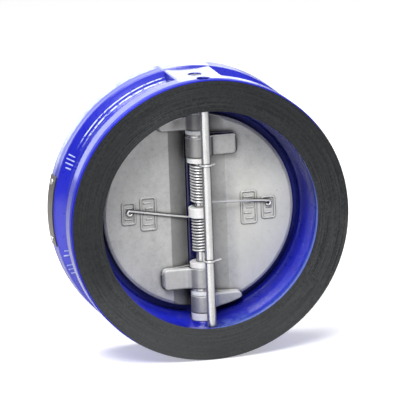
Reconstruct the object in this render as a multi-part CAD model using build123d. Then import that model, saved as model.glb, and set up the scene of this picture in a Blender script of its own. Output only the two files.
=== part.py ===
from build123d import *
import math
import os

# Dual-plate wafer check valve, DN150, PN10/16. Millimetres.
# Origin on the bore axis at mid-length. -Y is the outlet side, +Y the inlet side,
# +Z runs up along the hinge pin, +X is to the right seen from the outlet.
# Angles round the body run from +X towards +Z.

os.makedirs("parts", exist_ok=True)

# ---------------------------------------------------------------- shared dimensions
HALF_LENGTH = 76.0 / 2     # half the face-to-face length
RIM_R = 218.0 / 2
INLET_R = 72.3             # inlet bore
NECK_R = 80.0              # bore around the closed plates
SEAT_Y = 7.0               # sealing plane
SEAT_BACK_Y = SEAT_Y + 3.0 # inlet side of the rubber
RIB_HALF = 7.8             # half width of the rib between the seat openings

HINGE_Y = -5.0
HINGE_R = 4.0
STOP_Y = -30.0
STOP_R = 3.5
PIN_CLEAR = 0.02           # radial, pins and plugs in the body
HINGE_BORE_R = HINGE_R + 0.05  # lugs and bushes running on the hinge pin
PIN_HALF = 97.5            # half length of both pins
PLUG_R = 5.0
PLUG_BORE_Z = 98.4         # floor of the plug hole
PLUG_Z0, PLUG_Z1 = 100.0, 106.4

PLATE_Y = -1.75            # plate's outlet-side surface
FRAME_PROUD = 0.45         # height of the raised frames on a plate

NAMEPLATE_Y = 28.3
RIVET_ANGLES = (166.2, 189.6)


# ---------------------------------------------------------------- helpers
def cyl(radius, z0, z1, y=0.0):
    """Upright cylinder between two heights."""
    return Pos(0, y, (z0 + z1) / 2) * Cylinder(radius, z1 - z0)


def tube(inner_r, outer_r, z0, z1, y):
    """Upright tube between two heights."""
    return cyl(outer_r, z0, z1, y) - cyl(inner_r, z0 - 1, z1 + 1, y)


def bore_cyl(radius, length):
    """Cylinder along the bore axis, centred on the origin."""
    return Rot(90, 0, 0) * Cylinder(radius, length)


def block(x0, x1, y0, y1, z0, z1):
    centre = Pos((x0 + x1) / 2, (y0 + y1) / 2, (z0 + z1) / 2)
    return centre * Box(x1 - x0, y1 - y0, z1 - z0)


def flat_face(points, z=0.0):
    """Level face from (x, y) points."""
    return make_face(Polyline(*[(x, y, z) for x, y in points], close=True))


def prism(points, z0, z1):
    """Upright prism on (x, y) points."""
    return extrude(flat_face(points, z0), z1 - z0)


def turned(points):
    """Ring turned about the bore axis from (radius, y) points."""
    return revolve(flat_face(points), Axis.Y, 360)


def bore_ring(r0, r1, y0, y1):
    """Ring of rectangular section about the bore axis."""
    return turned([(r0, y0), (r1, y0), (r1, y1), (r0, y1)])


def radial(shape, angle, y):
    """Turns a piece modelled along +Z to an angle round the body and moves it along Y."""
    return Pos(0, y, 0) * (Rot(0, 90.0 - angle, 0) * shape)


def half_turn(shape):
    """The same piece turned half a revolution about the bore axis."""
    return shape.rotate(Axis.Y, 180)


def largest(shape):
    return shape.solids().sort_by(SortBy.VOLUME)[-1]


def save(shape, name):
    shape.label = name
    export_step(shape, f"parts/{name}.step")


# ---------------------------------------------------------------- body
CHANNEL_R = 101.0          # floor of the channel between the rims
OUTLET_R = 84.5            # outlet lip
LIP_Y = -33.0              # inlet-side end of the lip
BOWL_R = 89.0              # widest radius of the bowl behind the lip
NECK_Y = 1.0               # where the neck opens into the bowl
FLAT_Z = 107.3             # top and bottom drilled flats
FLAT_HALF = 18.0           # half width of the drilled flats

# inlet-side flank of the channel, from rim to floor: radius, y
FLANK = [
    (RIM_R, 20.5), (RIM_R - 0.6, 18.6), (RIM_R - 2.2, 17.0),
    (CHANNEL_R + 1.6, 13.2), (CHANNEL_R + 0.4, 11.8), (CHANNEL_R, 10.2),
]
# bowl curve between the neck and the lip: radius, y
BOWL = [
    (NECK_R, NECK_Y), (83.2, -5.5), (87.4, -12.5), (BOWL_R, -20.0),
    (88.2, -26.5), (85.6, -31.4), (OUTLET_R, LIP_Y),
]

ARROW_ANGLE = 204.0
ARROW_FOOT_R = 94.0        # the arrow prism starts here, inside the body wall
ARROW_PROUD = 1.6
# x round the rim, y along the bore axis
ARROW = [
    (-7.0, 9.0), (7.0, 9.0), (7.0, -1.0), (12.5, -1.0),
    (0.0, -11.0), (-12.5, -1.0), (-7.0, -1.0),
]

WEB_HALF = 13.0            # half width
WEB_Y = 26.0               # where the nose starts to taper
NOSE_HALF, NOSE_Y = 4.0, 35.0
WEB_Z = 76.0               # half height before trimming


def body_shell():
    """Turned body with its channel, bore and bowl."""
    outlet_flank = [(radius, -y) for radius, y in FLANK]
    with BuildSketch(Plane.XY) as profile:
        with BuildLine():
            Polyline(
                (OUTLET_R, -HALF_LENGTH), (RIM_R - 0.8, -HALF_LENGTH), (RIM_R, -HALF_LENGTH + 0.8),
                *outlet_flank, *reversed(FLANK),
                (RIM_R, HALF_LENGTH - 1.2), (RIM_R - 1.2, HALF_LENGTH),
                (INLET_R + 1.6, HALF_LENGTH), (INLET_R, HALF_LENGTH - 2.4),
                (INLET_R, SEAT_BACK_Y), (NECK_R, SEAT_BACK_Y), (NECK_R, NECK_Y),
            )
            Spline(*BOWL, tangents=((0, -1), (-0.55, -0.83)))
            Line((OUTLET_R, LIP_Y), (OUTLET_R, -HALF_LENGTH))
        make_face()
    return revolve(profile.sketch.face(), Axis.Y, 360)


def pin_boss():
    """Drilled flat bridging the channel at the top, and the cone round the hinge pin below it."""
    flat = block(-FLAT_HALF, FLAT_HALF, -19.5, 19.5, 94.0, FLAT_Z)
    flat = fillet(flat.edges().filter_by(Axis.Y).group_by(Axis.Z)[-1], 1.2)
    return flat + Pos(0, HINGE_Y, 90.0) * Cone(10.5, 11.4, 11.0)


def flow_arrow():
    """Raised arrow in the channel, pointing to the outlet."""
    angle = math.radians(ARROW_ANGLE)
    cos, sin = math.cos(angle), math.sin(angle)
    # local x goes round the rim, local y along the bore axis, local z outwards
    plane = Plane(
        origin=(ARROW_FOOT_R * cos, 0, ARROW_FOOT_R * sin),
        x_dir=(sin, 0, -cos),
        z_dir=(cos, 0, sin),
    )
    skin = bore_ring(95.0, CHANNEL_R + ARROW_PROUD, -13.0, 13.0)
    return (plane.location * prism(ARROW, 0.0, 12.0)) & skin


def seat_web():
    """Web carrying the inner edges of the seat, with a nose towards the inlet."""
    web = block(-WEB_HALF, WEB_HALF, SEAT_BACK_Y, WEB_Y, -WEB_Z, WEB_Z)
    nose = [(-WEB_HALF, WEB_Y), (WEB_HALF, WEB_Y), (NOSE_HALF, NOSE_Y), (-NOSE_HALF, NOSE_Y)]
    return (web + prism(nose, -WEB_Z, WEB_Z)) & bore_cyl(78.0, 80.0)


def seat_rib():
    """Rib on the web that stands through the seat towards the outlet."""
    half_height = INLET_R + 0.05
    rib = block(-RIB_HALF, RIB_HALF, 5.2, SEAT_BACK_Y + 1.0, -half_height, half_height)
    rib = fillet(rib.edges().filter_by(Axis.Z).group_by(Axis.Y)[0], 2.0)
    return rib & bore_cyl(INLET_R + 0.3, 80.0)


def make_body():
    body = body_shell()
    boss = pin_boss()
    body = body + boss
    body = body + half_turn(boss)
    body = body + flow_arrow()
    body = body + seat_web()
    body = body + seat_rib()

    cutters = [cyl(9.9, 60.0, 84.5, HINGE_Y)]  # pocket for the end bush
    for pin_r, y in ((HINGE_R, HINGE_Y), (STOP_R, STOP_Y)):
        cutters += [
            cyl(pin_r + PIN_CLEAR, 80.0, PLUG_BORE_Z + 2.0, y),
            cyl(PLUG_R + PIN_CLEAR, PLUG_BORE_Z, 112.0, y),
        ]
    for cutter in cutters + [c.mirror(Plane.XY) for c in cutters]:
        body = body - cutter

    # nameplate rivet holes in the inlet rim
    for angle in RIVET_ANGLES:
        body = body - radial(cyl(1.27, 102.0, 112.0), angle, NAMEPLATE_Y)
    return largest(body)


save(make_body(), "body")


# ---------------------------------------------------------------- seat
def make_seat():
    """Rubber ring with two upright bars, one either side of the body's rib."""
    ring = bore_ring(INLET_R, NECK_R - 0.1, SEAT_Y, SEAT_BACK_Y)
    bars = block(-13.4, 13.4, SEAT_Y, SEAT_BACK_Y, -74.0, 74.0)
    slot_half = RIB_HALF + 0.1
    slot_z = INLET_R + 0.35
    slot = block(-slot_half, slot_half, SEAT_Y - 1, SEAT_BACK_Y + 1, -slot_z, slot_z)
    return largest(ring + (bars & bore_cyl(76.0, 60.0)) - slot)


save(make_seat(), "seat")


# ---------------------------------------------------------------- pins, plugs and seals
def make_pin(radius, y):
    pin = cyl(radius, -PIN_HALF, PIN_HALF, y)
    return chamfer(pin.edges(), 0.6)


def make_plug(y):
    """Top plug with a hexagon socket."""
    plug = cyl(PLUG_R, PLUG_Z0, PLUG_Z1, y)
    plug = chamfer(plug.edges().group_by(Axis.Z)[-1], 0.5)
    socket_depth = 3.8
    return plug - Pos(0, y, PLUG_Z1 - socket_depth) * extrude(RegularPolygon(2.9, 6), 6.0)


seals = []
for pin_name, pin_radius, pin_y in (
    ("hinge_pin", HINGE_R, HINGE_Y),
    ("stop_pin", STOP_R, STOP_Y),
):
    save(make_pin(pin_radius, pin_y), pin_name)
    save(make_plug(pin_y), f"{pin_name}_plug_top")
    save(make_plug(pin_y).mirror(Plane.XY), f"{pin_name}_plug_bottom")
    seal = tube(2.6, 4.9, PLUG_BORE_Z + 0.05, PLUG_Z0 - 0.05, pin_y)
    seals += [seal, seal.mirror(Plane.XY)]
save(Compound(children=seals), "plug_seals")

# ---------------------------------------------------------------- plates
PLATE_R = 75.0
PLATE_BACK = SEAT_Y - 0.05 # plate's sealing surface
EDGE_X = 8.5               # straight inner edge
SLOPE_X = 22.3             # where the flat outlet-side surface starts
BEVEL_WIDTH, BEVEL_DEPTH = 2.2, 1.2
LUG_R = 9.25
ARM_Y = -7.25              # arm's flat outlet-side surface
ARM_X = 31.0               # free end of the arm
INNER_LUG_Z = (43.5, 59.0)
OUTER_LUG_Z = (-78.3, -65.0)
# section of a lug's arm: x, y
ARM = [
    (7.0, HINGE_Y - 6.0), (9.4, HINGE_Y - 3.9), (11.6, HINGE_Y - 2.7), (14.0, ARM_Y),
    (ARM_X - 1.4, ARM_Y), (ARM_X, ARM_Y + 1.4), (ARM_X + 0.5, PLATE_Y + 1.5),
    (22.0, 3.0), (EDGE_X + 0.3, 4.4), (4.0, HINGE_Y + 8.2), (0.0, HINGE_Y),
]


def plate_blank():
    """Half disc on the +X side, sloped along its inner edge and bevelled round its rim."""
    with BuildSketch(Plane.XZ) as half:
        Circle(PLATE_R)
        with Locations((EDGE_X - 50, 0)):
            Rectangle(100, 200, mode=Mode.SUBTRACT)
    # Plane.XZ looks along -Y, so extruding goes towards the outlet
    blank = Pos(0, PLATE_BACK, 0) * extrude(half.sketch, PLATE_BACK - PLATE_Y)
    slope = [
        (EDGE_X - 1, PLATE_Y - 3), (SLOPE_X, PLATE_Y - 3), (SLOPE_X, PLATE_Y),
        (EDGE_X, 2.6), (EDGE_X - 1, 2.9),
    ]
    blank = blank - prism(slope, -90, 90)
    # the bevel's slope is carried on 1 mm past the rim
    bevel_y = PLATE_Y + BEVEL_DEPTH * (BEVEL_WIDTH + 1) / BEVEL_WIDTH
    bevel = [
        (PLATE_R - BEVEL_WIDTH, PLATE_Y - 0.01), (PLATE_R + 1, PLATE_Y - 0.01),
        (PLATE_R + 1, bevel_y),
    ]
    return blank - turned(bevel)


def make_lug(z0, z1, corner):
    """Barrel round the hinge pin with an arm whose free end has rounded corners."""
    mask = block(-20, ARM_X - corner, -30, 20, z0, z1)
    mask = mask + block(-20, ARM_X + 2, -30, 20, z0 + corner, z1 - corner)
    for z in (z0 + corner, z1 - corner):
        mask = mask + Pos(ARM_X - corner, 0, z) * bore_cyl(corner, 60)
    return cyl(LUG_R, z0, z1, HINGE_Y) + (prism(ARM, z0, z1) & mask)


def raised_frame(x, z, width, height):
    """Raised rectangular outline on the plate's outlet side."""
    wall, corner, sunk = 1.2, 2.0, 0.3
    plane = Plane(origin=(x, PLATE_Y + sunk, z), x_dir=(1, 0, 0), z_dir=(0, -1, 0))
    outside = extrude(plane * RectangleRounded(width, height, corner), FRAME_PROUD + sunk)
    opening = RectangleRounded(width - 2 * wall, height - 2 * wall, corner - 0.8)
    return outside - extrude(plane * opening, FRAME_PROUD + 1.0)


def make_plate():
    inner_lug = make_lug(*INNER_LUG_Z, corner=3.6)
    outer_lug = make_lug(*OUTER_LUG_Z, corner=4.2)
    # the outer arm is trimmed to a sphere centred on the hinge axis
    swing = Pos(0, HINGE_Y, 0) * Sphere(76.0)
    arm_zone = block(9.0, 60, -30, 20, -100, 100)
    outer_lug = (outer_lug - arm_zone) + (outer_lug & arm_zone & swing)
    plate = plate_blank() + inner_lug + outer_lug
    plate = plate + raised_frame(39.7, -1.0, 12.6, 26.0) + raised_frame(55.2, -2.4, 11.0, 17.5)
    return largest(plate - cyl(HINGE_BORE_R, -100, 100, HINGE_Y))


plate = make_plate()
save(plate, "plate_right")
save(half_turn(plate), "plate_left")

# ---------------------------------------------------------------- bushes on the hinge pin
# name, outer radius, lower end, upper end
BUSHES = [
    ("centre_spacer", 8.6, -3.9, 3.9),
    ("thrust_bush_upper", 8.5, 38.9, 43.3),
    ("thrust_bush_lower", 9.0, -43.3, -38.9),
    ("end_bush_top", 9.2, 78.5, 84.4),
    ("end_bush_bottom", 9.2, -84.4, -78.5),
    ("lug_bush_upper", 9.0, 61.1, 64.8),
    ("lug_bush_lower", 9.0, -64.8, -61.1),
]
WASHERS = [
    ("lug_washer_upper", 9.2, 59.2, 60.9),
    ("lug_washer_lower", 9.2, -60.9, -59.2),
]

for name, radius, z0, z1 in BUSHES:
    bush = tube(HINGE_BORE_R, radius, z0, z1, HINGE_Y)
    rims = bush.edges().filter_by(GeomType.CIRCLE).group_by(SortBy.RADIUS)[-1]
    save(chamfer(rims, 0.35), name)
for name, radius, z0, z1 in WASHERS:
    save(tube(HINGE_BORE_R, radius, z0, z1, HINGE_Y), name)

# ---------------------------------------------------------------- springs
WIRE_R = 0.8
COIL_R = 5.95              # coil centreline
HOOK_ANGLE = -26.7         # where a coil ends towards its hook, from +X towards +Y
LEG_Y = PLATE_Y - FRAME_PROUD - WIRE_R - 0.15  # centreline of a leg lying on a plate
EYE_R = 1.7
HOOK_RUN = ((2.2, -14.2), (-0.5, -19.5), (-3.2, -24.8))  # x, y from coil to stop pin


def make_coil(z0, z1, turns, start, lefthand):
    """Coil rising from z0 to z1; start is the angle of its lower end round the pin."""
    helix = Helix((z1 - z0) / turns, z1 - z0, COIL_R, lefthand=lefthand)
    path = Pos(0, HINGE_Y, z0) * Rot(0, 0, start) * helix
    plane = Plane(origin=path @ 0, z_dir=path % 0)
    return path, sweep(plane * Circle(WIRE_R), path=path, is_frenet=True)


def eye(x, z, side):
    """Points of the small eye at the end of a leg; side is the sign of x it bends to."""
    points = []
    for k in (0, 1, 3, 5, 7):
        angle = math.radians(k * 33.0)
        x_eye = x + side * EYE_R * math.sin(angle)
        points.append((x_eye, LEG_Y, z - EYE_R * (1 - math.cos(angle))))
    return points


def hook(run_z, front_z, side_z, end_x):
    """Points from the coil round the outlet side of the stop pin; run_z goes with HOOK_RUN."""
    points = [(x, y, z) for (x, y), z in zip(HOOK_RUN, run_z)]
    radius = STOP_R + WIRE_R + 0.35
    for degrees in range(190, 331, 28):
        angle = math.radians(degrees)
        z = front_z + (side_z - front_z) * (1 + math.sin(angle))
        points.append((radius * math.cos(angle), STOP_Y + radius * math.sin(angle), z))
    points.append((end_x, STOP_Y - 0.6, side_z + 0.5))
    return points


def bent_wire(start, direction, points):
    """Wire leaving a coil's end in straight runs, mitred where they meet."""
    knots = [start, start + direction.normalized() * 1.5] + [Vector(*p) for p in points]
    dirs = [(q - p).normalized() for p, q in zip(knots, knots[1:])]
    overlap = 1.2          # extra length at each bend, cut off in the mitre plane
    wire = None
    for i, d in enumerate(dirs):
        before = 0.0 if i == 0 else overlap
        after = 0.0 if i == len(dirs) - 1 else overlap
        length = (knots[i + 1] - knots[i]).length + before + after
        run = extrude(Plane(origin=knots[i] - d * before, z_dir=d) * Circle(WIRE_R), length)
        if before:
            mitre = Plane(origin=knots[i], z_dir=(dirs[i - 1] + d).normalized())
            run = split(run, bisect_by=mitre, keep=Keep.TOP)
        if after:
            mitre = Plane(origin=knots[i + 1], z_dir=(d + dirs[i + 1]).normalized())
            run = split(run, bisect_by=mitre, keep=Keep.BOTTOM)
        wire = run if wire is None else wire + run
    return wire


def upper_spring():
    """Leg to the right from the outlet side of the coil's lower end, hook at the upper end."""
    path, coil = make_coil(8.5, 37.4, 12 + (270 - HOOK_ANGLE) / 360, -90.0, lefthand=True)
    leg_points = [(6.0, HINGE_Y - COIL_R + 0.35, 8.05), (44.0, LEG_Y - 0.6, 4.2)]
    leg = bent_wire(path @ 0, (path % 0) * -1, leg_points + eye(55.0, 3.0, 1))
    hook_points = hook((37.9, 39.2, 40.5), front_z=41.7, side_z=41.0, end_x=6.2)
    return Compound(children=[coil, leg, bent_wire(path @ 1, path % 1, hook_points)])


def lower_spring():
    """Leg to the left from the inlet side of the coil's upper end, hook at the lower end."""
    path, coil = make_coil(-31.2, -4.9, 11 + (90 - HOOK_ANGLE) / 360, HOOK_ANGLE, lefthand=False)
    leg_points = [
        (-4.0, HINGE_Y + COIL_R - 0.15, -5.0), (-9.0, HINGE_Y + COIL_R - 0.75, -4.65),
        (-21.0, LEG_Y + 0.35, -1.85), (-28.0, LEG_Y, -0.45),
    ]
    leg = bent_wire(path @ 1, path % 1, leg_points + eye(-54.5, 4.7, -1))
    hook_points = hook((-31.8, -32.3, -32.8), front_z=-33.2, side_z=-33.2, end_x=8.6)
    return Compound(children=[coil, leg, bent_wire(path @ 0, (path % 0) * -1, hook_points)])


save(upper_spring(), "spring_upper")
save(lower_spring(), "spring_lower")

# ---------------------------------------------------------------- nameplate
NAMEPLATE_T = 0.8
NAMEPLATE_HALF = 7.6       # half width along the bore axis
NAMEPLATE_ANGLES = (163.6, 192.2)


def make_nameplate():
    """Curved strip on the inlet rim."""
    inside_r = RIM_R + 0.02
    y0, y1 = NAMEPLATE_Y - NAMEPLATE_HALF, NAMEPLATE_Y + NAMEPLATE_HALF
    band = bore_ring(inside_r, inside_r + NAMEPLATE_T, y0, y1)
    first, last = [math.radians(angle) for angle in NAMEPLATE_ANGLES]
    corners = [(0, 0)]
    for angle in (first, (first + last) / 2, last):
        corners.append((200 * math.cos(angle), 200 * math.sin(angle)))
    strip = band & extrude(Plane.XZ * flat_face(corners), 60.0, both=True)
    for angle in RIVET_ANGLES:
        strip = strip - radial(cyl(1.3, 100, 115), angle, NAMEPLATE_Y)
    return largest(strip)


def make_rivet(angle):
    shank = cyl(1.25, 103.5, RIM_R + NAMEPLATE_T + 0.6)
    dome = Sphere(2.3) & block(-3, 3, -3, 3, 0, 1.1)
    return radial(shank + Pos(0, 0, RIM_R + NAMEPLATE_T + 0.12) * dome, angle, NAMEPLATE_Y)


save(make_nameplate(), "nameplate")
save(Compound(children=[make_rivet(angle) for angle in RIVET_ANGLES]), "nameplate_rivets")
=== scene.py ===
"""Check valve with two hinged plates, standing on its rim on a white floor.

The bore runs along Y, with the outlet towards -Y and the inlet towards +Y. X points right
as seen from the outlet, and Z points up. Hinge pin and stop pin are vertical, the stop pin
nearer the outlet. Wire and bar sizes are in mm; materials, floor and lights are in metres.
"""

import math

import bmesh
import bpy
import numpy as np
from mathutils import Matrix, Vector


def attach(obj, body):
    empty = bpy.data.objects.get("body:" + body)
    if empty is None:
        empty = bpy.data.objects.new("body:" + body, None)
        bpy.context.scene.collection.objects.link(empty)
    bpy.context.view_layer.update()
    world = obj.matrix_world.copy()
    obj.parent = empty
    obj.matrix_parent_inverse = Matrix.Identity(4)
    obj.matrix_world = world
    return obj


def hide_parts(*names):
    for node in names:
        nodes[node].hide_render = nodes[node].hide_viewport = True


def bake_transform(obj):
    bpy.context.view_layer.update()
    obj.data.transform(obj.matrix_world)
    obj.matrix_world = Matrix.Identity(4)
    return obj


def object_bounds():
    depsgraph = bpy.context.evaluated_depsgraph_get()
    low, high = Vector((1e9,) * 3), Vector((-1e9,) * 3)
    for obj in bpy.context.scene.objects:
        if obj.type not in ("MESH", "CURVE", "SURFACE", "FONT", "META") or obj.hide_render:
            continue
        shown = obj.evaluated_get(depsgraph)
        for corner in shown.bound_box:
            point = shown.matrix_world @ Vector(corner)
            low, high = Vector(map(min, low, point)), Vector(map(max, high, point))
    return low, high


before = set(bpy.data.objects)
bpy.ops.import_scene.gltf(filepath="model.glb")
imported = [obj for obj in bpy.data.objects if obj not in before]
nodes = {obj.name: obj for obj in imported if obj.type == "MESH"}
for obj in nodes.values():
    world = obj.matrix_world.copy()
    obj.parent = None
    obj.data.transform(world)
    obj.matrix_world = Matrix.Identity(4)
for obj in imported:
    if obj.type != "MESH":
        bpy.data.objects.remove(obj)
cad_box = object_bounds()

ROOT, RIGHT, LEFT = "valve_body", "right_plate", "left_plate"
MM = 0.001
HINGE_Y, STOP_Y = -5.0, -30.0  # pin axes
PLATE_Y = -1.75  # outlet-side face of the plates

scene = bpy.context.scene
scene.view_settings.view_transform = "Standard"
scene.view_settings.look = "None"


# ------------------------------------------------------------------ node helpers
class Nodes:
    """Adds nodes to one tree. A value is a number, an RGB tuple or another node's output."""

    def __init__(self, tree):
        self.tree = tree

    def put(self, socket, value):
        if isinstance(value, bpy.types.NodeSocket):
            self.tree.links.new(value, socket)
        else:
            socket.default_value = (*value, 1.0) if isinstance(value, tuple) else value

    def node(self, kind, inputs=(), **settings):
        node = self.tree.nodes.new("ShaderNode" + kind)
        for key, value in settings.items():
            setattr(node, key, value)
        for key, value in dict(inputs).items():
            self.put(node.inputs[key], value)
        return node

    def math(self, operation, *values):
        return self.node("Math", enumerate(values), operation=operation).outputs[0]

    def mul(self, first, *rest):
        """Product, nested from the right."""
        return self.math("MULTIPLY", first, self.mul(*rest) if len(rest) > 1 else rest[0])

    def add(self, first, *rest):
        """Sum, nested from the right."""
        return self.math("ADD", first, self.add(*rest) if len(rest) > 1 else rest[0])

    def sub(self, a, b):
        return self.math("SUBTRACT", a, b)

    def split(self, vector):
        return self.node("SeparateXYZ", {0: vector}).outputs

    def ramp(self, value, start, end, first=0.0, last=1.0):
        """Smooth step from first (at start) to last (at end); start may be above end."""
        inputs = {"Value": value, "From Min": start, "From Max": end,
                  "To Min": first, "To Max": last}
        return self.node("MapRange", inputs, interpolation_type="SMOOTHSTEP").outputs[0]

    def mix(self, factor, a, b):
        return self.node("Mix", {0: factor, 6: a, 7: b}, data_type="RGBA").outputs[2]

    def camera_ray(self):
        return self.node("LightPath").outputs["Is Camera Ray"]


class Material(Nodes):
    """A material with one Principled shader, laid out in object coordinates (metres)."""

    def __init__(self, name):
        self.mat = bpy.data.materials.new(name)
        self.mat.use_nodes = True
        super().__init__(self.mat.node_tree)
        self.tree.nodes.clear()
        self.shader = self.node("BsdfPrincipled")
        self.node("OutputMaterial", {0: self.shader.outputs[0]})
        self.coord = self.node("TexCoord").outputs["Object"]
        self.x, self.y, self.z = self.split(self.coord)

    def math(self, operation, a, b=0.0):
        return super().math(operation, a, b, 0.0)

    def abs(self, value):
        return self.math("ABSOLUTE", value)

    def max(self, a, b):
        return self.math("MAXIMUM", a, b)

    def radius(self):
        """Distance from the Y axis."""
        squares = self.add(self.math("POWER", self.x, 2.0), self.math("POWER", self.z, 2.0))
        return self.math("SQRT", squares)

    def angle(self):
        """Angle round the Y axis, from +X towards +Z, in radians."""
        return self.math("ARCTAN2", self.z, self.x)

    def vec(self, x, y, z):
        return self.node("CombineXYZ", {0: x, 1: y, 2: z}).outputs[0]

    def noise(self, scale, detail=4.0, rough=0.55, vector=None):
        inputs = {"Vector": vector or self.coord, "Scale": scale,
                  "Detail": detail, "Roughness": rough}
        return self.node("TexNoise", inputs).outputs["Fac"]

    def voronoi(self, scale):
        inputs = {"Vector": self.coord, "Scale": scale}
        return self.node("TexVoronoi", inputs).outputs["Distance"]

    def layers(self, color, *steps):
        """Lays (mask, color) steps over a base color, in order."""
        for mask, over in steps:
            color = self.mix(mask, color, over)
        return color

    def mix_value(self, factor, a, b):
        return self.node("Mix", {0: factor, 2: a, 3: b}, data_type="FLOAT").outputs[0]

    def mix_normal(self, factor, a, b):
        return self.node("Mix", {0: factor, 4: a, 5: b}, data_type="VECTOR").outputs[1]

    def edge(self, radius):
        """Rounded-edge normal."""
        return self.node("Bevel", {"Radius": radius}, samples=6).outputs[0]

    def bump(self, height, distance, strength=1.0, normal=None):
        inputs = {"Strength": strength, "Distance": distance, "Height": height}
        if normal is not None:
            inputs["Normal"] = normal
        return self.node("Bump", inputs).outputs[0]

    def occlusion(self, distance, power=1.0):
        """1 in the open, lower in corners."""
        node = self.node("AmbientOcclusion", {"Distance": distance}, samples=6)
        return self.math("POWER", node.outputs["AO"], power)

    def true_normal(self):
        return self.node("NewGeometry").outputs["True Normal"]

    def normal(self, axis):
        return self.split(self.true_normal())[axis]

    def edge_marks(self, rounded):
        """Masks of the edges turned up to the light and of those turned away from it."""
        inputs = {0: self.true_normal(), 1: rounded}
        dot = self.node("VectorMath", inputs, operation="DOT_PRODUCT").outputs["Value"]
        mask = self.ramp(dot, 0.9985, 0.965)
        parts = self.split(rounded)
        lit = self.add(self.mul(parts[2], 0.9), self.mul(parts[0], 0.25))
        return (self.mul(mask, self.ramp(lit, 0.05, 0.45)),
                self.mul(mask, self.ramp(lit, -0.02, -0.40)))

    def finish(self, **inputs):
        """Sets the shader's inputs; underscores stand for spaces."""
        for key, value in inputs.items():
            self.put(self.shader.inputs[key.replace("_", " ")], value)
        return self.mat


# ------------------------------------------------------------------ painted casting
def bare_faces(mat, radius):
    """Gasket faces, the inlet chamfer, and the outlet chamfer where it is worn, lower right."""
    face = mat.mul(mat.ramp(mat.abs(mat.y), 0.0374, 0.0378),
                   mat.ramp(mat.abs(mat.normal("Y")), 0.80, 0.95))
    ragged = mat.add(radius, mat.mul(mat.noise(420.0), 0.0006))
    face = mat.mul(face, mat.ramp(ragged, 0.0742, 0.0746))
    chamfer = mat.mul(mat.ramp(mat.y, 0.0367, 0.0370), mat.ramp(radius, 0.1070, 0.1074))
    worn = mat.mul(mat.ramp(mat.y, -0.0371, -0.0373), mat.ramp(radius, 0.1079, 0.1081))
    worn = mat.mul(worn, mat.ramp(mat.sub(mat.x, mat.z), 0.010, 0.035))
    return mat.max(mat.max(face, chamfer), worn)


def inside_lip(mat, radius):
    """The bowl and the bore of the outlet lip, on the outlet side of the plates."""
    return mat.mul(mat.ramp(radius, 0.0905, 0.0895), mat.ramp(mat.y, -0.0060, -0.0200))


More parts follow.
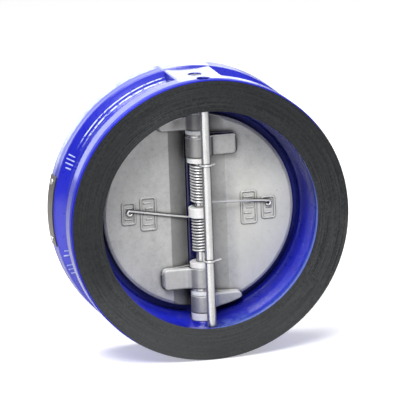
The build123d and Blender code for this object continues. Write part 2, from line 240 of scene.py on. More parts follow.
def enamel(mat, radius, angle, wide, fine):
    """Blue coat, a little thicker and thinner over the cast skin, with painted shade and painted
    highlights laid over it.
    """
    x, y, z = mat.x, mat.y, mat.z
    inside = mat.mul(mat.ramp(radius, 0.0905, 0.0895), mat.ramp(y, -0.0345, -0.0325))
    upper = mat.ramp(mat.add(z, mat.mul(wide, 0.02)), -0.035, 0.030)
    # painted shade on the web on the inlet side of the plates, behind them
    web = mat.mul(mat.ramp(mat.abs(x), 0.0140, 0.0130),
                  mat.ramp(y, 0.0030, 0.0050), mat.ramp(y, 0.0180, 0.0120))
    web = mat.mul(web, mat.ramp(radius, 0.0770, 0.0740))
    # two broken painted highlight streaks at the foot of the rear rim, upper left
    upper_left = mat.mul(mat.ramp(angle, 1.74, 1.80), mat.ramp(angle, 2.62, 2.45))
    stretched = mat.vec(mat.mul(angle, 26.0), mat.mul(radius, 700.0), 1.0)
    broken = mat.ramp(mat.noise(1.0, detail=3.0, rough=0.6, vector=stretched), 0.36, 0.52)
    inner_line = mat.ramp(mat.abs(mat.sub(radius, 0.1019)), 0.00055, 0.00025)
    outer_line = mat.ramp(mat.abs(mat.sub(radius, 0.1041)), 0.00050, 0.00022)
    highlight_lines = mat.mul(mat.max(inner_line, outer_line), mat.ramp(y, 0.0100, 0.0112),
                    upper_left, broken)
    # painted highlight along the top of the rear rim, upper left
    crown_highlight = mat.mul(mat.ramp(mat.add(y, mat.mul(fine, 0.004)), 0.0290, 0.0335),
                    mat.ramp(radius, 0.1080, 0.1084),
                    mat.ramp(angle, 1.74, 1.80), mat.ramp(angle, 3.05, 2.60))
    # painted highlight low in the bowl, just right of the middle, broken up by noise
    highlight_breakup = mat.ramp(mat.noise(150.0, rough=0.6), 0.36, 0.62, first=0.25)
    low = mat.mul(mat.ramp(z, -0.0760, -0.0840),
                  mat.ramp(x, -0.004, 0.004), mat.ramp(x, 0.046, 0.020))
    low = mat.mul(low, inside_lip(mat, radius), highlight_breakup)
    # painted highlight in cloudy patches at the right of the bowl
    highlight_patch = mat.mul(mat.ramp(x, 0.020, 0.045), mat.ramp(z, 0.015, -0.015))
    highlight_patch = mat.mul(highlight_patch, inside_lip(mat, radius), mat.ramp(mat.noise(34.0), 0.46, 0.62))
    # the lower right of the bowl: painted shade far down, painted highlight towards the outlet
    lower_right = mat.mul(mat.ramp(mat.sub(x, z), 0.010, 0.060),
                          mat.ramp(x, -0.010, 0.020), mat.ramp(radius, 0.0905, 0.0895))
    cloudy = mat.add(y, mat.mul(mat.noise(60.0, rough=0.6), 0.006))
    # painted shade in the bore close in front of the plates
    deep_shade = mat.mul(inside, mat.ramp(y, -0.0095, -0.0030))
    return mat.layers(
        mat.mix(mat.ramp(wide, 0.35, 0.65), (0.009, 0.014, 0.46), (0.016, 0.024, 0.60)),
        (mat.ramp(fine, 0.55, 0.8, last=0.35), (0.030, 0.045, 0.74)),
        # painted shade in the corners
        (mat.ramp(mat.occlusion(0.010), 0.35, 0.85, first=0.6, last=0.0), (0.003, 0.004, 0.14)),
        # painted shade in the upper part of the bowl and the lip bore
        (mat.mul(inside, upper, 0.78), (0.002, 0.005, 0.085)),
        # painted shade on the web behind the plates
        (mat.mul(web, 0.85), (0.001, 0.002, 0.040)),
        (mat.mul(highlight_lines, 0.92), (0.80, 0.88, 0.97)),
        (mat.mul(crown_highlight, mat.ramp(fine, 0.35, 0.6, first=0.45, last=0.80)), (0.66, 0.76, 0.88)),
        (mat.mul(low, 0.55), (0.30, 0.42, 0.80)),
        (mat.mul(highlight_patch, 0.30), (0.055, 0.105, 0.78)),
        (mat.mul(lower_right, mat.ramp(cloudy, -0.0130, -0.0040, last=0.50)),
         (0.004, 0.006, 0.26)),
        (mat.mul(lower_right, mat.ramp(cloudy, -0.0100, -0.0260, last=0.72)),
         (0.095, 0.185, 0.74)),
        (mat.mul(deep_shade, 0.55), (0.002, 0.003, 0.060)),
    )


def flat_enamel(mat, radius, wide):
    """Where the coat has lost its gloss: beside the outlet face, at the rear and on the rims."""
    outlet = mat.mul(mat.ramp(mat.add(mat.y, mat.mul(wide, 0.003)), -0.0285, -0.0310),
                     mat.ramp(radius, 0.1000, 0.1010))
    rear = mat.mul(mat.ramp(mat.add(mat.y, mat.mul(wide, 0.004)), 0.0215, 0.0255),
                   mat.ramp(radius, 0.1050, 0.1080))
    # the middle, top and bottom, stays glossy
    rear = mat.mul(rear, mat.sub(1.0, mat.ramp(mat.abs(mat.x), 0.0200, 0.0170)))
    flat = mat.max(outlet, mat.mul(rear, 0.62))
    rims = mat.mul(mat.ramp(radius, 0.1072, 0.1082),
                   mat.sub(1.0, mat.ramp(mat.abs(mat.x), 0.0195, 0.0175)))
    return mat.max(flat, mat.mul(rims, 0.36))


def turned_face(mat, radius, angle, streak):
    """Machined grey of the gasket faces, with painted shade at the upper right and on the left, and
    painted light at the bottom.
    """
    stretched = mat.vec(mat.mul(radius, 160.0), mat.mul(angle, 0.9), 3.0)
    broad = mat.noise(1.0, detail=3.0, rough=0.6, vector=stretched)
    mottle = mat.noise(520.0, rough=0.75)
    upper_right_shade = mat.ramp(mat.sub(mat.z, mat.mul(mat.x, -0.6)), 0.02, 0.12, last=0.55)
    left = mat.mul(mat.ramp(mat.x, -0.02, -0.09, last=0.58), mat.ramp(mat.z, -0.065, -0.030))
    blotches = mat.noise(38.0, detail=5.0, rough=0.65)
    return mat.layers(
        mat.mix(mat.ramp(streak, 0.36, 0.64), (0.014, 0.015, 0.017), (0.070, 0.074, 0.077)),
        (mat.ramp(mottle, 0.50, 0.68, last=0.75), (0.078, 0.080, 0.079)),
        (mat.ramp(mottle, 0.48, 0.32, last=0.80), (0.010, 0.011, 0.012)),
        (mat.ramp(broad, 0.35, 0.65, last=0.45), (0.040, 0.040, 0.043)),
        (mat.ramp(blotches, 0.56, 0.78, last=0.5), (0.100, 0.099, 0.094)),
        # painted shade at the upper right and on the left
        (upper_right_shade, (0.009, 0.010, 0.012)),
        (left, (0.008, 0.009, 0.010)),
        # painted light from below: paler at the bottom
        (mat.ramp(mat.z, -0.03, -0.10, last=0.42), (0.095, 0.097, 0.099)),
    )


def painted_casting():
    groove_pitch = 0.00085
    mat = Material("blue_enamel_on_casting")
    radius, angle = mat.radius(), mat.angle()
    wide = mat.noise(14.0, detail=3.0, rough=0.5)
    fine = mat.noise(160.0, detail=5.0, rough=0.6)
    bare = bare_faces(mat, radius)
    flat = flat_enamel(mat, radius, wide)
    turned = mat.vec(mat.mul(radius, 900.0), mat.mul(angle, 1.6), 0.0)
    streak = mat.noise(1.0, detail=6.0, rough=0.7, vector=turned)
    blue = enamel(mat, radius, angle, wide, fine)
    grey = turned_face(mat, radius, angle, streak)
    grooves = mat.math("SINE", mat.mul(radius, 2 * math.pi / groove_pitch))
    skin = mat.add(mat.mul(mat.noise(70.0, detail=3.0, rough=0.5), 0.9),
                   mat.mul(mat.noise(520.0, rough=0.6), 0.14))
    rounded = mat.edge(0.0022)
    paint_normal = mat.bump(skin, 0.00085, strength=0.55, normal=rounded)
    face_relief = mat.add(mat.mul(grooves, 0.5), mat.mul(streak, 1.6))
    face_normal = mat.bump(face_relief, 0.00005, strength=0.8)
    paint_rough = mat.mix_value(flat, mat.ramp(fine, 0.3, 0.7, first=0.26, last=0.38), 0.55)
    face_rough = mat.ramp(streak, 0.3, 0.7, first=0.42, last=0.60)
    return mat.finish(
        Base_Color=mat.mix(bare, blue, grey),
        Metallic=mat.mul(bare, 0.55),
        Roughness=mat.mix_value(bare, paint_rough, face_rough),
        Coat_Weight=mat.mix_value(bare, mat.mix_value(flat, 1.0, 0.06), 0.0),
        Specular_IOR_Level=mat.mix_value(bare, mat.mix_value(flat, 0.30, 0.12), 0.5),
        Coat_Roughness=mat.ramp(fine, 0.3, 0.7, first=0.07, last=0.14),
        Normal=mat.mix_normal(bare, paint_normal, face_normal),
        Coat_Normal=mat.bump(skin, 0.00060, strength=0.45, normal=rounded),
    )


def rubbed_enamel_and_sheen():
    """The same enamel on raised marks, pale on their crests: partly worn paint, partly painted
    highlight.
    """
    mat = Material("enamel_rubbed_pale_and_sheen")
    fine = mat.noise(900.0, rough=0.6)
    wide = mat.noise(120.0, detail=3.0, rough=0.5)
    color = mat.layers(
        mat.mix(mat.ramp(wide, 0.35, 0.65), (0.25, 0.33, 0.86), (0.55, 0.62, 0.92)),
        (mat.ramp(fine, 0.5, 0.75, last=0.8), (0.80, 0.84, 0.95)),
        # painted shade at the foot of the marks
        (mat.ramp(mat.occlusion(0.0012), 0.45, 0.85, first=0.9, last=0.0),
         (0.012, 0.018, 0.45)),
    )
    return mat.finish(
        Base_Color=color,
        Roughness=mat.ramp(fine, 0.3, 0.7, first=0.30, last=0.50),
        Coat_Weight=0.6,
        Coat_Roughness=0.12,
        Normal=mat.bump(fine, 0.00008, strength=0.5, normal=mat.edge(0.0004)),
    )


# ------------------------------------------------------------------ cast plates
def hinge_arm_layers(mat):
    """Painted highlights and painted shade on the hinge arms and barrels, which stand out towards
    the outlet.
    """
    pale, dark = (0.98, 0.98, 0.97), (0.030, 0.029, 0.028)
    rounded = mat.split(mat.edge(0.0026))
    arm = mat.mul(mat.ramp(mat.y, -0.0020, -0.0027), mat.ramp(mat.abs(mat.x), 0.0090, 0.0110))
    lower, upper = mat.ramp(mat.z, -0.025, -0.035), mat.ramp(mat.z, 0.025, 0.035)
    on_left, on_right = mat.ramp(mat.x, 0.002, -0.002), mat.ramp(mat.x, -0.002, 0.002)
    # which way the surface faces: up, down or sideways
    normal_x, normal_z = mat.normal("X"), mat.normal("Z")
    up, down = mat.ramp(normal_z, 0.22, 0.60), mat.ramp(normal_z, -0.22, -0.60)
    sideways = mat.ramp(mat.abs(normal_x), 0.30, 0.60)
    # narrow sides of the arms: painted highlight on some, painted shade on the others
    lit_sides = mat.add(mat.mul(lower, up), mat.mul(mat.mul(upper, down), on_left))
    shaded_sides = mat.add(
        mat.mul(mat.mul(upper, on_right), mat.max(up, sideways)),
        mat.mul(lower, mat.max(down, mat.mul(mat.mul(sideways, on_left), 0.25))))
    # painted highlight and painted shade on the front edges of the arms, in the same way
    bright_edge = mat.mul(arm, mat.add(
        mat.mul(lower, mat.ramp(rounded[2], 0.10, 0.34)),
        mat.mul(mat.mul(upper, on_left), mat.ramp(rounded[2], -0.10, -0.34))))
    dark_edge = mat.mul(
        arm, mat.mul(upper, on_right),
        mat.max(mat.ramp(rounded[2], 0.14, 0.40), mat.ramp(rounded[0], 0.14, 0.40)))
    barrel = mat.mul(mat.ramp(mat.y, -0.0020, -0.0027),
                     mat.ramp(mat.abs(mat.x), 0.0105, 0.0085))
    # painted shade at the top of the plates, near the hinge
    top = mat.mul(mat.ramp(mat.z, 0.0605, 0.0720), mat.ramp(mat.abs(mat.x), 0.0240, 0.0170))
    return (
        (mat.mul(bright_edge, 0.85), pale),
        (mat.mul(dark_edge, 0.80), dark),
        (mat.mul(mat.mul(arm, lit_sides), 0.90), pale),
        (mat.mul(mat.mul(arm, shaded_sides), 0.85), dark),
        # painted shade on the upper barrels
        (mat.mul(barrel, upper, 0.42), (0.20, 0.20, 0.20)),
        (mat.mul(top, 0.55), (0.060, 0.060, 0.058)),
        # painted shade on the left side of the barrels
        (mat.mul(barrel, mat.ramp(mat.x, -0.0035, -0.0085), 0.55), (0.05, 0.05, 0.05)),
    )


def cast_steel():
    mat = Material("cast_stainless")
    grain = mat.noise(1500.0, rough=0.7)
    mid = mat.noise(260.0, detail=6.0, rough=0.68)
    wide = mat.noise(32.0)
    pits = mat.ramp(mat.voronoi(340.0), 0.0, 0.24, first=1.0, last=0.0)
    pits = mat.mul(pits, mat.ramp(mat.noise(130.0, detail=2.0), 0.58, 0.70))
    # painted shade on the sloped band beside the hinge, darkest towards the hinge, more so on the
    # left plate
    hinge_strip_shade = mat.mul(mat.ramp(mat.abs(mat.x), 0.0224, 0.0219), mat.ramp(mat.y, -0.0030, -0.0020))
    shade_grade = mat.ramp(mat.abs(mat.x), 0.0225, 0.0085, first=0.62)
    shade_by_plate = mat.mix_value(mat.ramp(mat.x, 0.001, -0.001), 0.34, 0.80)
    # the right plate is paler below its top
    right = mat.mul(mat.ramp(mat.x, 0.024, 0.034), mat.ramp(mat.z, 0.045, 0.010))
    bright, edge_shade = mat.edge_marks(mat.edge(0.0018))
    warm_spots = mat.noise(60.0, detail=3.0, rough=0.6)
    color = mat.layers(
        mat.mix(mat.ramp(wide, 0.32, 0.68), (0.47, 0.472, 0.462), (0.60, 0.602, 0.588)),
        (mat.ramp(mid, 0.3, 0.75, last=0.50), (0.72, 0.72, 0.70)),
        (mat.ramp(mid, 0.42, 0.25, last=0.55), (0.27, 0.27, 0.26)),
        (mat.ramp(grain, 0.35, 0.8, first=0.35, last=0.0), (0.30, 0.30, 0.295)),
        (mat.ramp(warm_spots, 0.60, 0.78, last=0.25), (0.46, 0.43, 0.37)),
        (mat.mul(mat.mul(hinge_strip_shade, shade_grade), shade_by_plate), (0.075, 0.075, 0.075)),
        (mat.mul(right, 0.50), (0.82, 0.815, 0.74)),
        # painted shade in the corners, wide and then close
        (mat.ramp(mat.occlusion(0.006, power=1.1), 0.32, 0.94, first=0.95, last=0.0),
         (0.045, 0.044, 0.043)),
        (mat.ramp(mat.occlusion(0.0024), 0.58, 0.97, first=0.95, last=0.0),
         (0.028, 0.027, 0.026)),
        *hinge_arm_layers(mat),
        # painted highlight on edges turned up to the light, painted shade on edges turned away
        (mat.mul(bright, 0.90), (0.97, 0.97, 0.96)),
        (mat.mul(edge_shade, 0.88), (0.028, 0.027, 0.026)),
        (mat.mul(pits, 0.6), (0.12, 0.118, 0.11)),
    )
    relief = mat.add(mat.mul(grain, 0.5), mid, mat.mul(pits, -1.2))
    normal = mat.bump(relief, 0.00030, strength=0.6, normal=mat.edge(0.0010))
    return mat.finish(
        Base_Color=color,
        Metallic=0.35,
        Roughness=mat.ramp(mid, 0.3, 0.7, first=0.36, last=0.52),
        Normal=mat.bump(wide, 0.0012, strength=0.35, normal=normal),
        Specular_IOR_Level=0.5,
    )


# ------------------------------------------------------------------ small parts
def ground_steel(name, light, rough, dark=0.80, metal=0.92, shaded=False):
    """Round steel, drawn along Z. Its sides get painted shade by dark; shaded also paints shade on
    faces turned down and light on faces turned up.
    """
    mat = Material(name)
    along = mat.vec(mat.mul(mat.x, 2600.0), mat.mul(mat.y, 2600.0), mat.mul(mat.z, 60.0))
    across = mat.vec(0.0, 0.0, mat.mul(mat.z, 3800.0))
    drawn = mat.noise(1.0, rough=0.6, vector=along)
    rings = mat.noise(1.0, detail=3.0, rough=0.6, vector=across)
    cloud = mat.noise(90.0, detail=3.0, rough=0.5)
    facing = mat.node("LayerWeight", {"Blend": 0.5}).outputs["Facing"]
    turn = mat.ramp(facing, 0.26, 0.58)
    color = mat.layers(
        mat.mix(mat.ramp(drawn, 0.3, 0.7), (light * 0.74,) * 3, (light, light, light * 0.985)),
        (mat.ramp(cloud, 0.5, 0.75, last=0.35), (light * 0.62, light * 0.62, light * 0.60)),
        # painted shade in corners and at contacts
        (mat.ramp(mat.occlusion(0.004), 0.3, 0.85, first=0.7, last=0.0), (0.06, 0.06, 0.06)),
        (mat.ramp(mat.occlusion(0.0016), 0.4, 0.9, first=0.9, last=0.0), (0.03, 0.03, 0.03)),
        # painted shade along the sides
        (mat.mul(turn, dark), (0.050, 0.046, 0.022)),
    )
    if shaded:
        color = mat.layers(
            color,
            # painted shade on faces turned down, painted light on faces turned up
            (mat.ramp(mat.normal("Z"), -0.10, -0.75, last=0.90), (0.022, 0.021, 0.018)),
            (mat.ramp(mat.normal("Z"), 0.15, 0.80, last=0.60), (0.97, 0.97, 0.95)),
        )
    relief = mat.add(drawn, rings)
    return mat.finish(
        Base_Color=color,
        Metallic=mat.mix_value(turn, metal, 0.0),
        Specular_IOR_Level=mat.mix_value(turn, 0.5, 0.05),
        Roughness=mat.ramp(rings, 0.3, 0.7, first=rough * 0.85, last=rough * 1.35),
        Normal=mat.bump(relief, 0.00004, strength=0.5, normal=mat.edge(0.0003)),
    )


def ptfe():
    mat = Material("white_ptfe")
    across = mat.vec(0.0, 0.0, mat.mul(mat.z, 2600.0))
    rings = mat.noise(1.0, detail=3.0, rough=0.6, vector=across)
    cloud = mat.noise(120.0, rough=0.6)
    color = mat.layers(
        mat.mix(mat.ramp(cloud, 0.35, 0.7), (0.90, 0.90, 0.885), (0.80, 0.80, 0.775)),
        # painted shade in corners and at contacts
        (mat.ramp(mat.occlusion(0.004), 0.25, 0.8, first=0.55, last=0.0), (0.36, 0.35, 0.33)),
    )
    return mat.finish(
        Base_Color=color,
        Roughness=mat.ramp(rings, 0.3, 0.7, first=0.38, last=0.52),
        Subsurface_Weight=0.15,
        Subsurface_Scale=0.002,
        Normal=mat.bump(rings, 0.00005, strength=0.5, normal=mat.edge(0.0003)),
    )


def rubber():
    """Black ring, with blue overspray on its outer edge, clear of the plates."""
    mat = Material("black_rubber")
    speck = mat.noise(900.0, rough=0.65)
    spray = mat.add(mat.radius(), mat.mul(mat.noise(180.0, rough=0.6), 0.0008))
    color = mat.layers(
        mat.mix(mat.ramp(speck, 0.4, 0.75), (0.011, 0.011, 0.012), (0.026, 0.026, 0.027)),
        (mat.ramp(mat.noise(45.0, detail=3.0), 0.5, 0.8, last=0.5), (0.040, 0.040, 0.040)),
        (mat.ramp(spray, 0.0755, 0.0762), (0.008, 0.014, 0.22)),
    )
    return mat.finish(
        Base_Color=color,
        Roughness=mat.ramp(speck, 0.3, 0.7, first=0.55, last=0.75),
        Normal=mat.bump(speck, 0.00010, strength=0.5, normal=mat.edge(0.0004)),
    )


def copper():
    mat = Material("copper_seal")
    cloud = mat.noise(400.0, rough=0.6)
    return mat.finish(
        Base_Color=mat.mix(mat.ramp(cloud, 0.35, 0.7), (0.60, 0.27, 0.14), (0.36, 0.16, 0.09)),
        Metallic=0.95,
        Roughness=mat.ramp(cloud, 0.3, 0.7, first=0.3, last=0.5),
        Normal=mat.bump(cloud, 0.00005, strength=0.5),
    )


def aluminium(name, tone):
    """Brushed round the Y axis."""
    mat = Material(name)
    around = mat.vec(mat.mul(mat.y, 4200.0), mat.mul(mat.angle(), 12.0), 0.0)
    brushed = mat.noise(1.0, detail=5.0, rough=0.7, vector=around)
    cloud = mat.noise(70.0, rough=0.6)
    color = mat.layers(
        mat.mix(mat.ramp(brushed, 0.3, 0.7), tuple(v * 0.68 for v in tone), tone),
        (mat.ramp(cloud, 0.52, 0.74, last=0.5), tuple(v * 0.45 for v in tone)),
    )
    relief = mat.add(brushed, mat.mul(cloud, 1.5))
    return mat.finish(
        Base_Color=color,
        Metallic=0.85,
        Roughness=mat.ramp(brushed, 0.3, 0.7, first=0.28, last=0.42),
        Normal=mat.bump(relief, 0.00006, strength=0.6, normal=mat.edge(0.0003)),
    )


MAT = {
    "paint": painted_casting(),
    "rubbed_and_sheen": rubbed_enamel_and_sheen(),
    "plate": cast_steel(),
    "pin": ground_steel("ground_steel_pin", light=0.74, rough=0.22),
    "washer": ground_steel("turned_steel_washer", light=0.62, rough=0.28),
    "wire": ground_steel("drawn_spring_wire", light=0.95, rough=0.26, dark=0.55, metal=0.50,
                         shaded=True),
    "plug": ground_steel("zinc_steel_plug", light=0.62, rough=0.36, dark=0.25, metal=0.6),
    "ptfe": ptfe(),
    "rubber": rubber(),
    "copper": copper(),
    "nameplate": aluminium("brushed_nameplate", tone=(0.150, 0.128, 0.105)),
    "rivet": aluminium("rivet_aluminium", tone=(0.66, 0.66, 0.66)),
}
# the CAD pieces of each material
PIECES = {
    "paint": "body",
    "rubber": "seat",
    "pin": "hinge_pin stop_pin",
    "plate": "plate_right plate_left",
    "wire": "spring_upper spring_lower",
    "ptfe": "centre_spacer thrust_bush_upper thrust_bush_lower end_bush_top end_bush_bottom"
            " lug_bush_upper lug_bush_lower",
    "washer": "lug_washer_upper lug_washer_lower",
    "plug": "hinge_pin_plug_top hinge_pin_plug_bottom stop_pin_plug_top stop_pin_plug_bottom",
    "copper": "plug_seals",
    "nameplate": "nameplate",
    "rivet": "nameplate_rivets",
}
for key, names in PIECES.items():
    for name in names.split():
        for slot in nodes[name].material_slots:
            slot.link = "OBJECT"
            slot.material = MAT[key]


# ------------------------------------------------------------------ mesh helpers
def mesh_object(name, verts, faces, material, smooth=True):
    mesh = bpy.data.meshes.new(name)
    mesh.from_pydata([tuple(v) for v in verts], [], faces)
    mesh.validate()
    mesh.update()
    for polygon in mesh.polygons:
        polygon.use_smooth = smooth
    obj = bpy.data.objects.new(name, mesh)
    scene.collection.objects.link(obj)
    mesh.materials.append(material)
    return obj


def stack_faces(base, sides, rings):
    """Side faces, first cap and last cap of a stack of rings starting at vertex base."""
    walls = []
    for i in range(rings - 1):
        for k in range(sides):
            a = base + i * sides + k
            b = base + i * sides + (k + 1) % sides
            walls.append((a, b, b + sides, a + sides))
    first = tuple(base + k for k in range(sides - 1, -1, -1))
    last = tuple(base + (rings - 1) * sides + k for k in range(sides))
    return walls, first, last


def tube_mesh(points, radius, sides=12, cap_rings=3):
    """Round wire along a dense list of points, with domed ends."""
    centres = np.array(points, float)
    tangents = np.gradient(centres, axis=0)
    tangents /= np.linalg.norm(tangents, axis=1)[:, None]
    normal = np.cross(tangents[0], [0.0, 0.0, 1.0])
    normal /= np.linalg.norm(normal)
    normals = [normal]
    for tangent in tangents[1:]:
        normal = normal - (normal @ tangent) * tangent
        normal /= np.linalg.norm(normal)
        normals.append(normal)

    def dome_ring(end, outward, k):
        angle = math.pi / 2 * k / (cap_rings + 0.15)
        centre = centres[end] + outward * tangents[end] * radius * math.sin(angle)
        return centre, normals[end], tangents[end], radius * math.cos(angle)

    rings = [dome_ring(0, -1, k) for k in range(cap_rings, 0, -1)]
    rings += [(*ring, radius) for ring in zip(centres, normals, tangents)]
    rings += [dome_ring(-1, 1, k) for k in range(1, cap_rings + 1)]
    verts = []
    for centre, normal, tangent, ring_radius in rings:
        binormal = np.cross(tangent, normal)
        for k in range(sides):
            w = 2 * math.pi * k / sides
            verts.append(centre + ring_radius * (math.cos(w) * normal + math.sin(w) * binormal))
    walls, first, last = stack_faces(0, sides, len(rings))
    return np.array(verts), walls + [first, last]


def catmull(points, step):
    """Even, smooth resampling through the points."""
    pts = [np.array(p, float) for p in points]
    pts = [2 * pts[0] - pts[1]] + pts + [2 * pts[-1] - pts[-2]]
    out = []
    for i in range(1, len(pts) - 2):
        p0, p1, p2, p3 = pts[i - 1:i + 3]
        count = max(2, int(np.linalg.norm(p2 - p1) / step))
        for j in range(count):
            t = j / count
            out.append(0.5 * ((2 * p1) + (-p0 + p2) * t
                              + (2 * p0 - 5 * p1 + 4 * p2 - p3) * t * t
                              + (-p0 + 3 * p1 - 3 * p2 + p3) * t ** 3))
    out.append(pts[-2])
    return out


# ------------------------------------------------------------------ springs, wound as one wire each
WIRE_R, COIL_R = 0.8, 5.95
WIRE_STEP = 0.55
LEG_GAP = 0.6  # between a leg and its plate's face
LEG_Y = PLATE_Y - LEG_GAP - WIRE_R
EYE_R, EYE_STEP = 1.7, 33  # EYE_STEP in degrees
HOOK_R = 3.5 + WIRE_R + 0.35  # stop pin radius, wire and gap
COIL_FRONT, COIL_BACK = HINGE_Y - COIL_R, HINGE_Y + COIL_R


def eye(x, z, side):
    """Open loop that starts a leg; side is the sign of x it bulges to."""
    angles = [math.radians(EYE_STEP * k) for k in range(7, 0, -1)]
    return [(x + side * EYE_R * math.sin(a), LEG_Y, z - EYE_R * (1 - math.cos(a)))
            for a in angles]


def coil(z_start, z_end, start, turn):
    """Helix round the hinge axis; start and turn in degrees."""
    count = int(abs(turn) / 18)
    pts = []
    for i in range(count + 1):
        a = math.radians(start + turn * i / count)
        pts.append((COIL_R * math.cos(a), HINGE_Y + COIL_R * math.sin(a),
                    z_start + (z_end - z_start) * i / count))
    return pts


def hook(z, z_side, x_tip):
    """Bend round the outlet side of the stop pin, flaring out to x_tip."""
    pts = []
    for degrees in range(190, 331, 20):
        a = math.radians(degrees)
        pts.append((HOOK_R * math.cos(a), STOP_Y + HOOK_R * math.sin(a),
                    z + (z_side - z) * (1 + math.sin(a))))
    return pts + [(x_tip, STOP_Y - 0.6, z_side + 0.5)]


# each path: eye, leg along the plate, coil, run to the stop pin, hook
upper_path = (
    eye(55.0, 3.0, side=1)
    + [(55.0, LEG_Y, 3.0), (44.0, LEG_Y - 0.6, 4.2), (24.0, -8.1, 6.2),
       (10.0, COIL_FRONT + 0.25, 7.75), (4.0, COIL_FRONT + 0.05, 8.35)]
    + coil(8.5, 37.4, start=-90.0, turn=-(360.0 * 12 + 296.7))
    + [(2.2, -14.2, 37.9), (-0.5, -19.5, 39.2), (-3.2, -24.8, 40.5)]
    + hook(41.7, z_side=41.0, x_tip=6.2)
)
lower_path = (
    eye(-54.5, 4.7, side=-1)
    + [(-54.5, LEG_Y, 4.7), (-41.0, LEG_Y, 2.1), (-28.0, LEG_Y, -0.45),
       (-21.0, LEG_Y + 0.35, -1.85), (-9.0, COIL_BACK - 0.75, -4.65),
       (-4.0, COIL_BACK - 0.15, -5.0)]
    + coil(-4.9, -31.2, start=90.0, turn=-(360.0 * 11 + 116.7))
    + [(2.2, -14.2, -31.8), (-0.5, -19.5, -32.3), (-3.2, -24.8, -32.8)]
    + hook(-33.2, z_side=-33.2, x_tip=8.6)
)
# each row: CAD spring, wire path, the plate its leg rests on, the height where the coil is held and
# the height of its moving leg; each wire is built along its path in place of the CAD spring
for piece, path, plate, z_held, z_leg in (
    ("spring_upper", upper_path, RIGHT, 37.2, 9.5),
    ("spring_lower", lower_path, LEFT, -30.6, -6.0),
):
    verts, faces = tube_mesh(catmull(path, WIRE_STEP), WIRE_R)
    spring = mesh_object(piece + "_wire", verts * MM, faces, MAT["wire"])
    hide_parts(piece)
    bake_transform(spring)


# ------------------------------------------------------------------ plain raised bars
def raised_bars(name, verts, faces, body, material):
    """Flat-shaded bars, given in mm, that move with a body."""
    obj = mesh_object(name, np.array(verts) * MM, faces, material, smooth=False)
    bm = bmesh.new()
    bm.from_mesh(obj.data)
    bmesh.ops.recalc_face_normals(bm, faces=bm.faces)
    bm.to_mesh(obj.data)
    bm.free()
    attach(obj, body)


BAR_PITCH, BAR_HALF_WIDTH, BAR_HEIGHT = 4.2, 0.75, 0.40
# columns of bars on the right plate: left end, full length, z of the top bar,
# then each bar's start and end as parts of the full length
PLATE_BARS = (
    (35.9, 7.6, 7.2, ((0.0, 1.0), (0.1, 0.75), (0.25, 1.0), (0.0, 0.8), (0.15, 1.0))),
    (52.2, 6.0, 1.9, ((0.0, 1.0), (0.2, 0.9), (0.0, 0.85))),
)
# section of a plate bar: inset of the outline, y
PLATE_BAR_RINGS = ((-0.05, PLATE_Y + 0.15), (0.0, PLATE_Y - 0.02), (0.28, PLATE_Y - BAR_HEIGHT))


def plate_bars(name, body, side):
    """Bars with drafted sides; side -1 turns the pattern half round for the left plate."""
    verts, faces = [], []
    for x_left, length, z_top, spans in PLATE_BARS:
        for k, (begin, end) in enumerate(spans):
            z = z_top - BAR_PITCH * k
            x0, x1 = x_left + length * begin, x_left + length * end
            z0, z1 = z - BAR_HALF_WIDTH, z + BAR_HALF_WIDTH
            walls, bottom, top = stack_faces(len(verts), 4, len(PLATE_BAR_RINGS))
            faces += walls + [top, bottom]
            for inset, y in PLATE_BAR_RINGS:
                xa, xb, za, zb = x0 + inset, x1 - inset, z0 + inset, z1 - inset
                verts += [(side * cx, y, side * cz)
                          for cx, cz in ((xa, za), (xb, za), (xb, zb), (xa, zb))]
    raised_bars(name, verts, faces, body, MAT["plate"])


plate_bars("plate_right_cast_bars", RIGHT, side=1)
plate_bars("plate_left_cast_bars", LEFT, side=-1)

# the sloped side of the channel round the body
SLOPE_R, SLOPE_Y = 104.7, 15.1  # middle of the slope
SLOPE_RISE, SLOPE_RUN = 4.2, 3.8  # radial and along Y
# section of a slope bar: height, inset of length, inset of width
SLOPE_BAR_RINGS = ((-0.35, 0.0, 0.0), (0.0, 0.0, 0.0), (0.55, 0.16, 0.22), (0.72, 0.34, 0.42))
SLOPE_BAR_SIDES = 12
# bars: angle round the bore in degrees, length, width, shift up the slope
UPPER_BARS = (
    (158.4, 5.2, 1.25, -0.6), (156.5, 7.2, 1.25, 0.0),
    (154.7, 7.6, 1.25, 0.2), (152.9, 6.4, 1.25, 0.4),
)
LOWER_BARS = (
    (194.2, 4.2, 1.2, -0.8), (196.3, 5.6, 1.2, 0.4), (200.6, 7.4, 1.25, 0.0),
    (202.5, 7.4, 1.25, 0.0), (204.4, 4.6, 1.25, 0.9),
)


def slope_bars(name, bars):
    """Round-ended bars, their length running up the slope."""
    axis = np.array([0.0, 1.0, 0.0])
    slant = math.hypot(SLOPE_RISE, SLOPE_RUN)
    verts, faces = [], []
    for degrees, length, width, shift in bars:
        a = math.radians(degrees)
        radial = np.array([math.cos(a), 0.0, math.sin(a)])
        around = np.array([-math.sin(a), 0.0, math.cos(a)])
        up_slope = (SLOPE_RISE * radial + SLOPE_RUN * axis) / slant
        outward = (SLOPE_RUN * radial - SLOPE_RISE * axis) / slant
        centre = SLOPE_R * radial + SLOPE_Y * axis + shift * up_slope
        walls, bottom, top = stack_faces(len(verts), SLOPE_BAR_SIDES, len(SLOPE_BAR_RINGS))
        faces += walls + [bottom, top]
        for height, length_inset, width_inset in SLOPE_BAR_RINGS:
            half_length, half_width = length / 2 - length_inset, width / 2 - width_inset
            for k in range(SLOPE_BAR_SIDES):
                w = 2 * math.pi * (k + 0.5) / SLOPE_BAR_SIDES
                along = math.copysign(half_length - half_width, math.cos(w))
                along += half_width * math.cos(w)
                verts.append(centre + up_slope * along
                             + around * half_width * math.sin(w) + outward * height)
    raised_bars(name, verts, faces, ROOT, MAT["rubbed_and_sheen"])


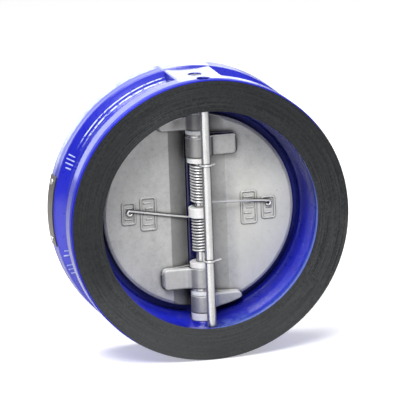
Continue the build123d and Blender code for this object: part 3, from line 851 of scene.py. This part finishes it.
slope_bars("channel_bars_upper", UPPER_BARS)
slope_bars("channel_bars_lower", LOWER_BARS)


# ------------------------------------------------------------------ floor
FLOOR_HALF = 6.0
FLOOR_DROP = 0.0002  # gap under the valve
FLOOR_BOUNCE, FLOOR_SEEN = 0.80, 0.86  # grey for the light, grey for the camera
FLOOR_GLOW = 0.42  # emission seen by the camera
FLOOR_SHEEN = 0.40  # emission seen in reflections, front left only


def build_floor():
    z = cad_box[0][2] - FLOOR_DROP
    half = FLOOR_HALF
    corners = [(-half, -half, z), (half, -half, z), (half, half, z), (-half, half, z)]
    material = bpy.data.materials.new("floor_white")
    floor = mesh_object("floor", corners, [(0, 1, 2, 3)], material)
    material.use_nodes = True
    tree = Nodes(material.node_tree)
    x, y, _ = tree.split(tree.node("TexCoord").outputs["Object"])
    # angle from -Y towards +X
    angle = tree.math("ARCTAN2", x, tree.mul(y, -1.0))
    sector = tree.mul(
        tree.ramp(angle, math.radians(6.0), math.radians(-22.0), last=FLOOR_SHEEN),
        tree.ramp(angle, math.radians(-120.0), math.radians(-95.0)))
    sheen = tree.mul(sector, tree.node("LightPath").outputs["Is Glossy Ray"])
    inputs = {
        "Roughness": 0.95,
        "Specular IOR Level": 0.1,
        "Base Color": tree.mix(tree.camera_ray(), (FLOOR_BOUNCE,) * 3, (FLOOR_SEEN,) * 3),
        "Emission Color": (1, 1, 1),
        "Emission Strength": tree.add(tree.mul(tree.camera_ray(), FLOOR_GLOW), sheen),
    }
    shader = tree.tree.nodes["Principled BSDF"]
    for key, value in inputs.items():
        tree.put(shader.inputs[key], value)


build_floor()

# ------------------------------------------------------------------ world
# white for the camera; for the light itself a dim room with a bright wall
# behind the valve and a paler ceiling
ROOM, WALL, CEILING = 0.17, 0.5, 0.35


def build_world():
    world = bpy.data.worlds.new("studio")
    scene.world = world
    world.use_nodes = True
    tree = Nodes(world.node_tree)
    tree.tree.nodes.clear()
    _, y, z = tree.split(tree.node("TexCoord").outputs["Generated"])
    wall = tree.mul(tree.ramp(y, 0.35, 0.85, last=WALL),
                    tree.ramp(z, 0.35, 0.70, first=1.0, last=0.0))
    room = tree.add(ROOM, wall, tree.ramp(z, 0.55, 0.95, last=CEILING))
    seen = tree.camera_ray()
    strength = tree.add(tree.mul(seen, 1.0), tree.mul(tree.sub(1.0, seen), room))
    inputs = {"Color": (1.0, 1.0, 1.0), "Strength": strength}
    background = tree.node("Background", inputs)
    tree.node("OutputWorld", {0: background.outputs[0]})


build_world()


# ------------------------------------------------------------------ lights
def area(name, place, width, height, power, color=(1, 1, 1)):
    """Rectangular light aimed at the origin and hidden from the camera."""
    light = bpy.data.lights.new(name, "AREA")
    light.shape = "RECTANGLE"
    light.size, light.size_y = width, height
    light.energy = power
    light.color = color
    obj = bpy.data.objects.new(name, light)
    scene.collection.objects.link(obj)
    obj.location = place
    obj.rotation_euler = (-Vector(place)).to_track_quat("-Z", "Y").to_euler()
    obj.visible_camera = False
    return obj


area("key_softbox", place=(-0.55, -1.30, 1.45), width=0.8, height=0.8, power=38.0)
area("top_softbox", place=(-0.15, 0.45, 0.95), width=0.8, height=0.5, power=7.0)
# bright sweep behind the valve, left out of the diffuse light
sweep = area("back_sweep", place=(0.10, 2.3, 0.62), width=3.4, height=1.25, power=26.0,
             color=(0.86, 0.93, 1.0))
sweep.visible_diffuse = False

# ------------------------------------------------------------------ camera
# a long lens at the outlet side, a little to the left and above
AZIMUTH, ELEVATION, ROLL = math.radians(-14.54), math.radians(13.07), math.radians(-2.10)
DISTANCE, SHIFT_RIGHT, SHIFT_UP = 4648.0, 1.53, 7.66  # mm

back = Vector((math.sin(AZIMUTH) * math.cos(ELEVATION),
               -math.cos(AZIMUTH) * math.cos(ELEVATION), math.sin(ELEVATION)))
level_right = Vector((math.cos(AZIMUTH), math.sin(AZIMUTH), 0.0))
level_up = back.cross(level_right)
right = math.cos(ROLL) * level_right + math.sin(ROLL) * level_up
up = -math.sin(ROLL) * level_right + math.cos(ROLL) * level_up
camera = bpy.data.cameras.new("camera")
camera.sensor_fit = "HORIZONTAL"
camera.sensor_width = 36.0
camera.lens = 546.93
camera.clip_end = 50.0
camera_obj = bpy.data.objects.new("camera", camera)
scene.collection.objects.link(camera_obj)
place = (back * DISTANCE + right * SHIFT_RIGHT + up * SHIFT_UP) * MM
turn = Matrix((right, up, back)).transposed().to_4x4()
camera_obj.matrix_world = Matrix.Translation(place) @ turn
scene.camera = camera_obj
